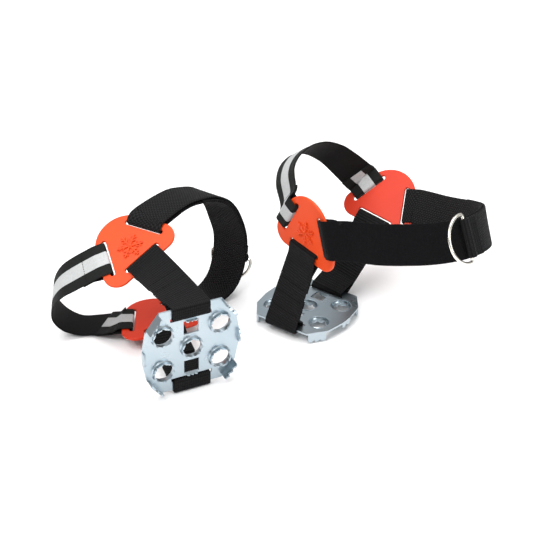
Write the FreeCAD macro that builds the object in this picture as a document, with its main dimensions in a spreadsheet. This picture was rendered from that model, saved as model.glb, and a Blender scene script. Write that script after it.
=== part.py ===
import FreeCAD, Part
import math
import os

import Sketcher
from FreeCAD import Vector, Rotation, Placement

# A pair of strap-on ice cleats, in millimetres, +Z up.  The left foot's cleat stands on the
# prongs of its steel plate; the right foot's lies on its side, plate upright on its edge.
# The origin is the middle of the bottom of the box round both cleats, on the ground.
# Each cleat has axes of its own: x towards the toe, y from its right side to its left side,
# z from the ground side of the plate to the foot.

os.makedirs("parts", exist_ok=True)
doc = FreeCAD.newDocument("IceCleats")

# ---------------------------------------------------------------- driving dimensions
DIMENSIONS = {
    # steel plate
    "sheet_gauge": 1.5,          # thickness of the pressed steel sheet
    "plate_half_length": 36.0,   # centre to the front or rear edge
    "plate_half_width": 36.5,    # centre to a side edge
    "corner_cut_length": 11.0,   # how far each corner cut runs along the side edge
    "corner_cut_width": 14.5,    # how far each corner cut runs along the front edge
    "edge_bulge": 3.0,           # the front and rear edges stand out this far in the middle
    "edge_bulge_half": 5.5,
    "hole_pitch_length": 46.0,   # fore and aft spacing of the four outer studs
    "hole_pitch_width": 32.0,    # sideways spacing of the four outer studs
    "stud_rim_radius": 9.0,      # rolled rim of each drawn stud
    "stud_bore_radius": 7.4,     # clear hole through the stud
    "stud_depth": 4.2,           # plate middle to the stud's teeth
    "stud_wall": 1.1,
    "stud_teeth": 8.0,
    "window_side": 12.0,
    "window_offset": 18.2,       # plate centre to window centre
    "slot_offset": 27.6,         # plate centre to the middle of a webbing slot
    "slot_length": 33.0,
    "slot_width": 3.2,
    "flange_width": 15.0,        # the four corner prongs
    "flange_drop": 8.55,         # plate middle to the tips of the prongs
    "prong_notch": 2.2,
    "edge_tooth_drop": 5.0,      # small teeth under the front and rear edges
    "tab_drop": 3.6,             # toothed lip at the windows
    # triangular plastic plates
    "tri_gauge": 2.6,
    "tri_slot_half": 16.4,       # half the length of a slot, to the middle of its round end
    "tri_slot_radius": 1.9,
    "tri_sole_reach": 11.7,      # plate middle to the sole strap's slot
    "tri_side_reach": 20.3,      # plate middle to the two leaning slots
    "tri_side_angle": 24.0,      # lean of those two slots, in degrees
    "tri_rim": 8.0,              # slot middle to the plate's edge
    "tri_top_radius": 24.7,
    "tri_foot_radius": 12.0,
    "tri_edge_round": 0.8,
    # webbing, elastic and tapes
    "webbing_width": 30.0,
    "webbing_gauge": 1.5,
    "elastic_width": 29.0,
    "elastic_gauge": 1.3,
    "stripe_width": 11.5,
    "stripe_gauge": 0.25,
    "loop_tape_width": 31.5,
    "loop_tape_gauge": 1.0,
    "hook_tape_gauge": 0.8,
    "sewn_gap": 0.1,             # between two layers sewn together
    "rim_clearance": 1.4,        # from a plastic plate's edge to where webbing bends round it
    "clearance": 0.4,            # between webbing and the plastic that it wraps tightly
    "loop_gap": 0.9,             # round the bars that the sole straps swing on
    "slot_rise": 3.8,            # where a sole strap turns over the steel plate's edge strip
    "peel_gap": 0.35,            # between the loop tape and the hook tape laid on it
    "peel_start": 1.0,           # between the fixed and the peeling part of the instep strap
    "sewn_tail": 24.0,           # length of each sewn-back end
    # pull ring and its keeper
    "wire_radius": 1.3,
    "ring_half_height": 18.6,    # to the middle of the wire
    "ring_reach": 21.0,          # bar to the far side of the bow, wire middles
    "left_ring_tilt": 4.0,       # degrees that the ring turns out from its keeper's line
    "right_ring_tilt": -9.0,
    "keeper_radius": 3.4,
    "keeper_bore": 1.7,
    "keeper_length": 31.0,
}

dims = doc.addObject("Spreadsheet::Sheet", "Dimensions")
for row, (alias, value) in enumerate(DIMENSIONS.items(), start=1):
    dims.set("A%d" % row, alias)
    dims.set("B%d" % row, "%g" % value)
    dims.setAlias("B%d" % row, alias)
doc.recompute()


def size(alias):
    """One driving dimension, read from the sheet."""
    return float(dims.get(alias))


def bind(obj, prop, expression):
    """Ties one property of an object to the sheet, @name standing for a cell."""
    obj.setExpression(prop, expression.replace("@", "Dimensions."))


# ---------------------------------------------------------------- where everything lies
LAYOUT_SHIFT = Vector(-2.05, 97.415, 0.0)   # puts the origin under the middle of the pair

LEFT_PLATE = Placement(Vector(34, -79.5, 8.55) + LAYOUT_SHIFT, Rotation(Vector(0, 0, 1), -37))
RIGHT_PLATE = Placement(
    Vector(-56.3, -184.6, 39.05) + LAYOUT_SHIFT,
    Rotation(Vector(0, 0, 1), 26) * Rotation(Vector(1, 0, 0), -86.6))


def tri_frame(centre, toe, up):
    """Placement of a triangular plate: x towards the toe, y up the leg, z its normal."""
    x_axis = Vector(*toe)
    y_axis = Vector(*up)
    spin = Rotation(x_axis, y_axis, x_axis.cross(y_axis), "YXZ")
    return Placement(Vector(*centre) + LAYOUT_SHIFT, spin)


# side is the sign of the outward normal along the plate's own z
CLEATS = {
    "left": {
        "plate": LEFT_PLATE,
        "medial": {"frame": tri_frame((31, -106.5, 89.5), (0.64, -0.76, -0.12), (0.07, -0.10, 0.99)),
                   "side": 1},
        "lateral": {"frame": tri_frame((98.5, -14.5, 68.5), (0.77, -0.62, -0.14), (0.53, 0.49, 0.69)),
                    "side": -1},
    },
    "right": {
        "plate": RIGHT_PLATE,
        "medial": {"frame": tri_frame((-88, -107, 11.5), (0.90, 0.44, 0.0), (-0.44, 0.90, 0.0)),
                   "side": -1},
        "lateral": {"frame": tri_frame((-103, -121, 85.5), (0.73, 0.50, 0.47), (-0.66, 0.70, 0.27)),
                    "side": 1},
    },
}

# The free stretches of the heel elastics and instep straps: points along the middle of the
# band, each with the direction across it that points up the leg.  Chosen by hand.
HEEL_ROUTES = {
    "left": [  # from the medial plate round the heel to the lateral plate
        ((17, -78, 109), (0.39, -0.43, 0.82)),
        ((15, -62, 119), (0.49, -0.44, 0.75)),
        ((19, -46, 125), (0.60, -0.46, 0.65)),
        ((28, -31, 127), (0.66, -0.47, 0.59)),
        ((40, -18, 124), (0.68, -0.45, 0.58)),
        ((52, -9, 116), (0.71, -0.36, 0.61)),
        ((64, -4, 105), (0.74, -0.22, 0.63)),
    ],
    "right": [  # from the medial plate round the heel to the lateral plate
        ((-137.5, -99, 2.5), (-0.12, 0.99, 0.0)),
        ((-152, -99.5, 2.5), (-0.09, 0.99, 0.05)),
        ((-164, -103, 11), (-0.05, 0.97, 0.15)),
        ((-170, -110, 25.5), (-0.03, 0.97, 0.22)),
        ((-168.3, -118, 42.5), (-0.07, 0.95, 0.27)),
        ((-161, -125, 57), (-0.16, 0.91, 0.37)),
        ((-150, -126.5, 66), (-0.25, 0.85, 0.47)),
    ],
}
INSTEP_ROUTES = {
    "left": [  # from the medial plate over the instep to the lateral plate
        ((63, -130, 98), (-0.07, 0.26, 0.96)),
        ((83, -139, 100), (0.0, 0.35, 0.94)),
        ((104, -143.5, 102), (0.0, 0.41, 0.91)),
        ((125, -143.5, 103), (-0.09, 0.43, 0.90)),
        ((145, -137, 103), (-0.2, 0.41, 0.89)),
        ((160, -124, 101.5), (-0.28, 0.37, 0.88)),
        ((168, -106, 97.5), (-0.22, 0.34, 0.92)),
        ((168, -86, 91), (-0.08, 0.33, 0.94)),
        ((160, -68, 84.5), (0.07, 0.36, 0.93)),
        ((148, -51, 79), (0.16, 0.43, 0.89)),
    ],
    "right": [  # from the medial plate over the instep to the lateral plate
        ((-60.5, -73, 8), (-0.73, 0.69, 0.0)),
        ((-47.8, -53.5, 5.5), (-0.76, 0.65, 0.0)),
        ((-37.7, -44.5, 15), (-0.83, 0.55, 0.05)),
        ((-32.3, -42, 33.5), (-0.89, 0.45, 0.05)),
        ((-31.2, -42.7, 54), (-0.90, 0.43, -0.04)),
        ((-35, -47, 73), (-0.87, 0.46, -0.14)),
        ((-41, -50.5, 88), (-0.80, 0.58, -0.14)),
        ((-50, -58.5, 99), (-0.73, 0.68, -0.07)),
        ((-61, -69, 104), (-0.69, 0.72, -0.03)),
        ((-73, -81, 105.5), (-0.72, 0.70, 0.03)),
    ],
}
# the instep strap's folded-back end peels off at this point of its route, and is this long
PEEL_STATION = 7
PEELED_LENGTH = {"left": 58.5, "right": 73.0}


# ---------------------------------------------------------------- sketch helpers
def plane_of(body, role):
    """The body's own origin plane or axis with this role."""
    return next(f for f in body.Origin.OriginFeatures if f.Role == role)


def new_sketch(body, name, role="XY_Plane", offset=None):
    """A sketch on one of the body's origin planes."""
    sketch = body.newObject("Sketcher::SketchObject", name)
    sketch.AttachmentSupport = (plane_of(body, role), [""])
    sketch.MapMode = "FlatFace"
    if offset is not None:
        sketch.AttachmentOffset = offset
    return sketch


def add_polygon(sketch, points):
    """A closed outline of straight edges."""
    corners = [Vector(x, y, 0) for x, y in points]
    first = sketch.GeometryCount
    count = len(corners)
    for i in range(count):
        sketch.addGeometry(Part.LineSegment(corners[i], corners[(i + 1) % count]), False)
    for i in range(count):
        sketch.addConstraint(Sketcher.Constraint(
            "Coincident", first + i, 2, first + (i + 1) % count, 1))


def add_circle(sketch, x_expr, y_expr, radius_expr, tag):
    """A circle whose centre and radius follow the sheet; a zero centre sits on the axis."""
    index = sketch.addGeometry(Part.Circle(Vector(1, 1, 0), Vector(0, 0, 1), 1), False)
    constraints = [("Radius", radius_expr, Sketcher.Constraint("Radius", index, 1.0))]
    if x_expr:
        constraints.append(("X", x_expr, Sketcher.Constraint("DistanceX", -1, 1, index, 3, 1.0)))
    else:
        sketch.addConstraint(Sketcher.Constraint("PointOnObject", index, 3, -2))
    if y_expr:
        constraints.append(("Y", y_expr, Sketcher.Constraint("DistanceY", -1, 1, index, 3, 1.0)))
    else:
        sketch.addConstraint(Sketcher.Constraint("PointOnObject", index, 3, -1))
    for kind, expression, constraint in constraints:
        number = sketch.addConstraint(constraint)
        name = "%s%s" % (tag, kind)
        sketch.renameConstraint(number, name)
        bind(sketch, "Constraints." + name, expression)


def finish_sub_part(body, label, placement):
    body.Label = label
    body.Placement = placement


# ---------------------------------------------------------------- steel plate
def plate_outline():
    """Octagon with a shallow bulge in the middle of the front and rear edges."""
    half_l, half_w = size("plate_half_length"), size("plate_half_width")
    cut_l, cut_w = size("corner_cut_length"), size("corner_cut_width")
    bulge, bulge_half = size("edge_bulge"), size("edge_bulge_half")
    quarter = [(half_l + bulge, bulge_half), (half_l, half_w - cut_w), (half_l - cut_l, half_w)]
    back = [(-x, y) for x, y in reversed(quarter)]
    upper = quarter + back
    return upper + [(-x, -y) for x, y in upper]


def toothed_profile(width, top, drop, teeth, notch):
    """Side view of a bent-down prong: straight sides and a row of teeth at the bottom."""
    half = width / 2
    pitch = width / teeth
    points = [(half, top), (-half, top), (-half, -drop + notch * 0.6)]
    for i in range(teeth):
        left = -half + i * pitch
        points.append((left + pitch * 0.32, -drop))
        points.append((left + pitch * 0.62, -drop + notch * 0.25))
        if i < teeth - 1:
            points.append((left + pitch, -drop + notch))
    points.append((half, -drop + notch * 0.6))
    return points


def add_prong(body, name, foot, heading, profile, thickness_expr):
    """A plate standing on edge: its sketch faces along heading, in degrees from x."""
    turn = Rotation(Vector(0, 0, 1), heading + 90) * Rotation(Vector(1, 0, 0), 90)
    sketch = new_sketch(body, name + "_profile", "XY_Plane", Placement(Vector(*foot), turn))
    add_polygon(sketch, profile)
    pad = body.newObject("PartDesign::Pad", name)
    pad.Profile = sketch
    bind(pad, "Length", thickness_expr)
    pad.Midplane = True
    return pad


def steel_plate(label, placement):
    """Pressed sheet: five drawn studs, two windows, two webbing slots, bent-down prongs."""
    body = doc.addObject("PartDesign::Body", label)
    gauge = size("sheet_gauge")
    blank_sketch = new_sketch(body, "blank_outline")
    add_polygon(blank_sketch, plate_outline())
    blank = body.newObject("PartDesign::Pad", "blank")
    blank.Profile = blank_sketch
    blank.Midplane = True
    bind(blank, "Length", "@sheet_gauge")

    cut_sketch = new_sketch(body, "openings_outline")
    half_l, half_w = "@hole_pitch_length / 2", "@hole_pitch_width / 2"
    add_circle(cut_sketch, "", "", "@stud_rim_radius", "Centre")
    for tag, sign_x, sign_y in (("FrontLeft", "", ""), ("FrontRight", "", "-"),
                                ("RearLeft", "-", ""), ("RearRight", "-", "-")):
        add_circle(cut_sketch, sign_x + half_l, sign_y + half_w, "@stud_rim_radius", tag)
    window, window_at = size("window_side") / 2, size("window_offset")
    slot_l, slot_w = size("slot_length") / 2, size("slot_width") / 2
    for sign in (1, -1):
        for half_x, half_y, at in ((window, window, window_at), (slot_l, slot_w, size("slot_offset"))):
            add_polygon(cut_sketch, [(half_x, sign * at + half_y), (-half_x, sign * at + half_y),
                                     (-half_x, sign * at - half_y), (half_x, sign * at - half_y)])
    openings = body.newObject("PartDesign::Pocket", "openings")
    openings.Profile = cut_sketch
    openings.Type = "ThroughAll"
    openings.Midplane = True

    pitch_l, pitch_w = size("hole_pitch_length") / 2, size("hole_pitch_width") / 2
    stud_centres = [(0, 0), (pitch_l, pitch_w), (pitch_l, -pitch_w), (-pitch_l, pitch_w),
                    (-pitch_l, -pitch_w)]
    for number, centre in enumerate(stud_centres):
        drawn_stud(body, "stud_%d" % number, centre)

    cut_l, cut_w = size("corner_cut_length"), size("corner_cut_width")
    corner_x = size("plate_half_length") - cut_l / 2
    corner_y = size("plate_half_width") - cut_w / 2
    heading = math.degrees(math.atan2(cut_l, cut_w))
    inset = gauge / 2
    for sign_x, sign_y in ((1, 1), (1, -1), (-1, 1), (-1, -1)):
        angle = math.degrees(math.atan2(sign_y * math.sin(math.radians(heading)),
                                        sign_x * math.cos(math.radians(heading))))
        foot = (sign_x * (corner_x - inset * math.cos(math.radians(heading))),
                sign_y * (corner_y - inset * math.sin(math.radians(heading))), 0)
        profile = toothed_profile(size("flange_width"), gauge / 2, size("flange_drop"), 3,
                                  size("prong_notch"))
        name = "prong_%s%s" % ("front" if sign_x > 0 else "rear", "_left" if sign_y > 0 else "_right")
        add_prong(body, name, foot, angle, profile, "@sheet_gauge")
    edge_x = size("plate_half_length") + size("edge_bulge") - inset
    for sign in (1, -1):
        profile = toothed_profile(2 * size("edge_bulge_half"), gauge / 2, size("edge_tooth_drop"), 2, 2.4)
        add_prong(body, "edge_teeth_%s" % ("front" if sign > 0 else "rear"),
                  (sign * edge_x, 0, 0), 0 if sign > 0 else 180, profile, "@sheet_gauge")
        lip_y = sign * (window_at + window + inset * 0.7)
        profile = toothed_profile(9.0, gauge / 2, size("tab_drop"), 3, 1.6)
        add_prong(body, "window_lip_%s" % ("left" if sign > 0 else "right"),
                  (0, lip_y, 0), 90 * sign, profile, "@sheet_gauge * 0.7")
    finish_sub_part(body, label, placement)
    return body


def drawn_stud(body, name, centre):
    """The rolled rim and drawn collar round one hole, with teeth cut in its lower edge."""
    gauge = size("sheet_gauge")
    rim, bore = size("stud_rim_radius"), size("stud_bore_radius")
    wall, depth = size("stud_wall"), size("stud_depth")
    upright = Placement(Vector(centre[0], 0, -centre[1]), Rotation())
    section = new_sketch(body, name + "_section", "XZ_Plane", upright)
    top = gauge / 2
    add_polygon(section, [
        (rim + 0.3, top - 0.2), (rim, top), (rim - 0.4, top + 0.35), (rim - 0.9, top + 0.25),
        (bore + 0.5, top - 0.6),
        (bore, top - 1.6), (bore, -depth), (bore + wall, -depth), (bore + wall, -top - 0.9),
        (rim + 0.3, -top)])
    collar = body.newObject("PartDesign::Revolution", name + "_collar")
    collar.Profile = section
    collar.ReferenceAxis = (section, ["V_Axis"])
    collar.Angle = 360.0
    notch_sketch = new_sketch(body, name + "_notch", "XZ_Plane", upright)
    pitch = 2 * math.pi * bore / size("stud_teeth")
    add_polygon(notch_sketch, [(-pitch * 0.32, -depth - 0.5), (pitch * 0.32, -depth - 0.5),
                               (0, -depth + 1.5)])
    notch = body.newObject("PartDesign::Pocket", name + "_notches")
    notch.Profile = notch_sketch
    notch.Midplane = True
    notch.Length = 2 * (bore + wall + 1.0)
    doc.recompute()
    pattern = body.newObject("PartDesign::PolarPattern", name + "_teeth")
    pattern.Originals = [notch]
    pattern.Axis = (section, ["V_Axis"])
    bind(pattern, "Occurrences", "@stud_teeth / 2")
    bind(pattern, "Angle", "180 - 360 / @stud_teeth")
    body.Tip = pattern


# ---------------------------------------------------------------- triangular plates
def slot_centre(which):
    """Middle of a slot and the direction along it, in a triangular plate's own axes."""
    if which == "sole":
        return Vector(0, -size("tri_sole_reach"), 0), Vector(1, 0, 0)
    lean = math.radians(size("tri_side_angle"))
    reach = size("tri_side_reach")
    sign = 1 if which == "instep" else -1
    middle = Vector(sign * reach * math.cos(lean), reach * math.sin(lean), 0)
    return middle, Vector(-sign * math.sin(lean), math.cos(lean), 0)


def add_rounded_slot(sketch, middle, along, half, radius):
    """A slot with round ends: two straight sides and two half circles."""
    side = Vector(-along.y, along.x, 0) * radius
    start, end = middle - along * (half - radius), middle + along * (half - radius)
    angle = math.atan2(along.y, along.x)
    sketch.addGeometry(Part.LineSegment(start - side, end - side), False)
    sketch.addGeometry(Part.ArcOfCircle(Part.Circle(end, Vector(0, 0, 1), radius),
                                        angle - math.pi / 2, angle + math.pi / 2), False)
    sketch.addGeometry(Part.LineSegment(end + side, start + side), False)
    sketch.addGeometry(Part.ArcOfCircle(Part.Circle(start, Vector(0, 0, 1), radius),
                                        angle + math.pi / 2, angle + 3 * math.pi / 2), False)


def tri_corner_arcs():
    """Centre, radius and the two tangent angles of each rounded corner, anticlockwise."""
    lean = math.radians(size("tri_side_angle"))
    side = size("tri_side_reach") + size("tri_rim")
    base = size("tri_sole_reach") + size("tri_rim")
    top_r, foot_r = size("tri_top_radius"), size("tri_foot_radius")
    top = Vector(0, (side - top_r) / math.sin(lean), 0)
    foot_x = (side - foot_r + (base - foot_r) * math.sin(lean)) / math.cos(lean)
    foot_y = foot_r - base
    return [(Vector(foot_x, foot_y, 0), foot_r, -math.pi / 2, lean),
            (top, top_r, lean, math.pi - lean),
            (Vector(-foot_x, foot_y, 0), foot_r, math.pi - lean, 3 * math.pi / 2)]


def on_circle(centre, radius, angle):
    return centre + Vector(math.cos(angle), math.sin(angle), 0) * radius


def tri_plate(label, placement):
    """Moulded plate with three webbing slots, each beside one edge of a rounded triangle."""
    body = doc.addObject("PartDesign::Body", label)
    outline = new_sketch(body, "outline")
    arcs = tri_corner_arcs()
    for i, (centre, radius, start, end) in enumerate(arcs):
        outline.addGeometry(Part.ArcOfCircle(
            Part.Circle(centre, Vector(0, 0, 1), radius), start, end), False)
        following = arcs[(i + 1) % len(arcs)]
        outline.addGeometry(Part.LineSegment(
            on_circle(centre, radius, end), on_circle(following[0], following[1], following[2])), False)
    blank = body.newObject("PartDesign::Pad", "blank")
    blank.Profile = outline
    blank.Midplane = True
    bind(blank, "Length", "@tri_gauge")
    slots_sketch = new_sketch(body, "slots_outline")
    for which in ("sole", "instep", "heel"):
        middle, along = slot_centre(which)
        add_rounded_slot(slots_sketch, middle, along, size("tri_slot_half"), size("tri_slot_radius"))
    slots = body.newObject("PartDesign::Pocket", "slots")
    slots.Profile = slots_sketch
    slots.Type = "ThroughAll"
    slots.Midplane = True
    doc.recompute()
    rims = [i for i, edge in enumerate(slots.Shape.Edges, start=1)
            if abs(abs(edge.CenterOfMass.z) - size("tri_gauge") / 2) < 0.01]
    rounded = body.newObject("PartDesign::Fillet", "rounded_edges")
    rounded.Base = (slots, ["Edge%d" % i for i in rims])
    bind(rounded, "Radius", "@tri_edge_round")
    finish_sub_part(body, label, placement)
    return body


# ---------------------------------------------------------------- strips of webbing and tape
STRIP_CHECKS = {}       # each band's section times its length, and the length


def unit(vector):
    return Vector(vector).normalize()


def station_frames(stations):
    """For each point of a band: place, across, normal and the stretch that a mitre needs."""
    points = [s[0] for s in stations]
    frames = []
    for i, (place, across) in enumerate(stations):
        before = unit(place - points[i - 1]) if i > 0 else unit(points[1] - place)
        after = unit(points[i + 1] - place) if i < len(points) - 1 else before
        along = unit(before + after)
        half_turn = math.acos(max(-1.0, min(1.0, before.dot(after)))) / 2
        across = unit(across - along * across.dot(along))
        frames.append((place, across, across.cross(along), 1 / math.cos(half_turn)))
    return frames


def strip_solid(sections):
    """A closed solid through sections of four corners each; its sides are four-corner patches."""
    faces = []
    for corners in (sections[0], sections[-1]):
        faces.append(Part.Face(Part.makePolygon(corners + corners[:1])))
    for near, far in zip(sections, sections[1:]):
        for k in range(4):
            patch = Part.BezierSurface()
            patch.setPole(1, 1, near[k])
            patch.setPole(1, 2, near[(k + 1) % 4])
            patch.setPole(2, 1, far[k])
            patch.setPole(2, 2, far[(k + 1) % 4])
            faces.append(patch.toShape())
    shell = Part.makeShell(faces)
    shell.sewShape()
    solid = Part.makeSolid(shell)
    if solid.Volume < 0:
        solid.reverse()
    return solid


def strip(label, stations, width, low, high, keep=slice(None)):
    """A band through the stations, from low to high along the normal at each of them.
    Stations outside keep only set how the band leans where it starts and ends."""
    frames = station_frames(stations)[keep]
    sections = []
    for place, across, normal, stretch in frames:
        half = across * (width / 2)
        inner, outer = normal * (low * stretch), normal * (high * stretch)
        sections.append([place - half + inner, place + half + inner, place + half + outer,
                         place - half + outer])
    obj = doc.addObject("Part::Feature", label)
    obj.Shape = strip_solid(sections)
    obj.Label = label
    obj.Placement = Placement()
    length = sum((b[0] - a[0]).Length for a, b in zip(frames, frames[1:]))
    STRIP_CHECKS[label] = (width * (high - low) * length, length)
    return obj


def centred_strip(label, stations, width, gauge):
    return strip(label, stations, width, -gauge / 2, gauge / 2)


def tri_point(tri, which, out, lift):
    """A point by a slot: out from the slot towards the plate's edge, lift off the plate."""
    middle, along = slot_centre(which)
    towards_edge = Vector(along.y, -along.x, 0)
    if towards_edge.dot(middle) < 0:
        towards_edge = -towards_edge
    local = middle + towards_edge * out + Vector(0, 0, tri["side"] * lift)
    return tri["frame"].multVec(local)


def tri_across(tri, which):
    along = slot_centre(which)[1]
    return tri["frame"].Rotation.multVec(along)


def blend_direction(a, b, share):
    return unit(a * (1 - share) + b * share)


def offset_stations(stations, amount):
    """The same band moved along its normals."""
    return [(place + normal * (amount * stretch), across)
            for place, across, normal, stretch in station_frames(stations)]


def stretch_of(stations, start, end):
    """The stations of a band between two distances along it."""
    travelled = 0.0
    kept = []
    for (place, across), (next_place, next_across) in zip(stations, stations[1:]):
        step = (next_place - place).Length
        for distance in (start, end):
            if travelled < distance <= travelled + step:
                share = (distance - travelled) / step
                kept.append((distance, place + (next_place - place) * share,
                             across * (1 - share) + next_across * share))
        travelled += step
        if start < travelled < end:
            kept.append((travelled, next_place, next_across))
    kept.sort(key=lambda item: item[0])
    return [(place, unit(across)) for distance, place, across in kept]


def sewn_back(main, gauge, inward, start, end):
    """The doubled end of a band: it lies along main, one layer further in."""
    return stretch_of(offset_stations(main, inward * (gauge + size("sewn_gap"))), start, end)


def normal_sign(stations, index, target):
    """+1 where the band's normal at this station points towards target."""
    place, across, normal, stretch = station_frames(stations)[index]
    return 1 if normal.dot(target - place) > 0 else -1


def sole_strap(label, cleat, side_name, y_sign):
    """Webbing from a slot of the steel plate, under its edge strip and up to a plastic plate."""
    plate, tri = cleat["plate"], cleat[side_name]
    gauge, gap = size("webbing_gauge"), size("loop_gap")
    below = -(size("sheet_gauge") / 2 + gap + gauge / 2)
    edge = size("plate_half_width") + gap + gauge / 2
    slot = size("slot_offset")
    lift = size("tri_gauge") / 2 + gap + gauge / 2
    tail = size("sewn_tail")

    def at_plate(y, z):
        return plate.multVec(Vector(0, y_sign * y, z))

    across_plate = plate.Rotation.multVec(Vector(1, 0, 0))
    across_tri = tri_across(tri, "sole")
    foot = at_plate(edge, 0.2)
    head = tri_point(tri, "sole", size("tri_rim") + size("rim_clearance"), lift)
    run = [(foot + (head - foot) * share, blend_direction(across_plate, across_tri, share))
           for share in (0.0, 0.2, 0.4, 0.6, 0.8, 1.0)]
    inward = normal_sign(run, 2, cleat["plate"].multVec(Vector(0, 0, 40)))
    low_tail = sewn_back(run, gauge, inward, 13.0, tail + 6)
    high_tail = sewn_back(run[::-1], gauge, -inward, 8.0, tail)
    at_steel = [(at_plate(slot, size("slot_rise")), across_plate),
                (at_plate(slot, below), across_plate),
                (at_plate(edge, below), across_plate)]
    at_plastic = [(tri_point(tri, "sole", 0, lift), across_tri),
                  (tri_point(tri, "sole", 0, -lift), across_tri),
                  (tri_point(tri, "sole", size("tri_rim") + 0.8, -lift), across_tri)]
    stations = low_tail[::-1] + at_steel + run + at_plastic + high_tail
    return centred_strip(label, stations, size("webbing_width"), gauge)


def shifted(route):
    return [(Vector(*place) + LAYOUT_SHIFT, Vector(*across)) for place, across in route]


def looped_end(tri, which, lift, route, gauge, inside):
    """Stations of an end that leaves the route outside the plate, dives through the slot and
    is sewn back on the inside.  The route starts at this end; inside is a point of the foot."""
    across = tri_across(tri, which)
    rim = size("tri_rim") + size("rim_clearance")
    main = [(tri_point(tri, which, rim, lift), across)] + route
    inward = normal_sign(main, 2, inside)
    tail = sewn_back(main, gauge, inward, 7.0, size("sewn_tail") - 8)
    # where a band bends inward round the plate, its tail draws the turned end off the plate
    tail_lift = -tri["side"] * tri["frame"].inverse().multVec(tail[0][0]).z
    return [main[0], (tri_point(tri, which, 0, lift), across),
            (tri_point(tri, which, 0, -lift), across),
            (tri_point(tri, which, rim, -max(lift, tail_lift)), across)] + tail


def heel_elastic(name, cleat):
    """Heel band: both ends pass through a slot and are sewn back on the inside."""
    gauge = size("elastic_gauge")
    lift = size("tri_gauge") / 2 + size("clearance") + gauge / 2
    route = shifted(HEEL_ROUTES[name])
    inside = foot_middle(cleat)
    start = looped_end(cleat["medial"], "heel", lift, route, gauge, inside)
    end = looped_end(cleat["lateral"], "heel", lift, route[::-1], gauge, inside)
    stations = start[::-1] + route + end
    band = centred_strip(name + "_heel_elastic", stations, size("elastic_width"), gauge)
    visible = [start[1], start[0]] + route + [end[0], end[1]]
    outer = -normal_sign(visible, len(visible) // 2, inside)
    low = gauge / 2 + size("sewn_gap") / 2
    high = low + size("stripe_gauge")
    if outer < 0:
        low, high = -high, -low
    stripe = strip(name + "_reflective_stripe", visible, size("stripe_width"), low, high)
    return [band, stripe]


def foot_middle(cleat):
    """A point between the two plastic plates, inside every band."""
    return (cleat["medial"]["frame"].Base + cleat["lateral"]["frame"].Base) / 2


def instep_strap(name, cleat):
    """Instep strap: sewn at the medial plate, through the lateral plate and folded back."""
    gauge, gap = size("webbing_gauge"), size("clearance")
    lift = size("tri_gauge") / 2 + gap + gauge / 2
    route = shifted(INSTEP_ROUTES[name])
    medial, lateral = cleat["medial"], cleat["lateral"]
    inside = foot_middle(cleat)
    start = looped_end(medial, "instep", lift, route, gauge, inside)
    rim = size("tri_rim") + size("rim_clearance")
    across = tri_across(lateral, "instep")
    approach = [(tri_point(lateral, "instep", rim, -lift), across),
                (tri_point(lateral, "instep", 0, -lift), across)]
    outer = -normal_sign(route, len(route) // 2, inside)
    tape = size("loop_tape_gauge")
    back_offset = gauge + tape + size("peel_gap") + size("hook_tape_gauge")
    main = route + approach
    folded = offset_stations(main, outer * back_offset)[len(route) - 1::-1]
    peel = len(route) - 1 - PEEL_STATION
    fold = [(tri_point(lateral, "instep", 0, lift), across),
            (tri_point(lateral, "instep", rim, lift), across)]
    fold_back = fold + folded[:peel + 1]
    band = centred_strip(name + "_instep_strap", start[::-1] + main + fold_back,
                         size("webbing_width"), gauge)

    def layer(label, stations, width, low, high, keep=slice(None)):
        if outer < 0:
            low, high = -high, -low
        return strip(label, stations, width, low, high, keep)

    pile = layer(name + "_loop_tape", [start[1], start[0]] + route, size("loop_tape_width"),
                 gauge / 2 + size("sewn_gap"), gauge / 2 + tape, slice(1, -1))
    end_route = stretch_of(folded[peel:], size("peel_start"), PEELED_LENGTH[name])[::-1]
    end_band = layer(name + "_strap_end", end_route, size("webbing_width"), -gauge / 2, gauge / 2)
    hooks = layer(name + "_hook_tape", end_route, size("webbing_width") - 2.0,
                  -gauge / 2 - size("hook_tape_gauge"), -gauge / 2)
    return [band, pile, end_band, hooks], end_route, outer


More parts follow.
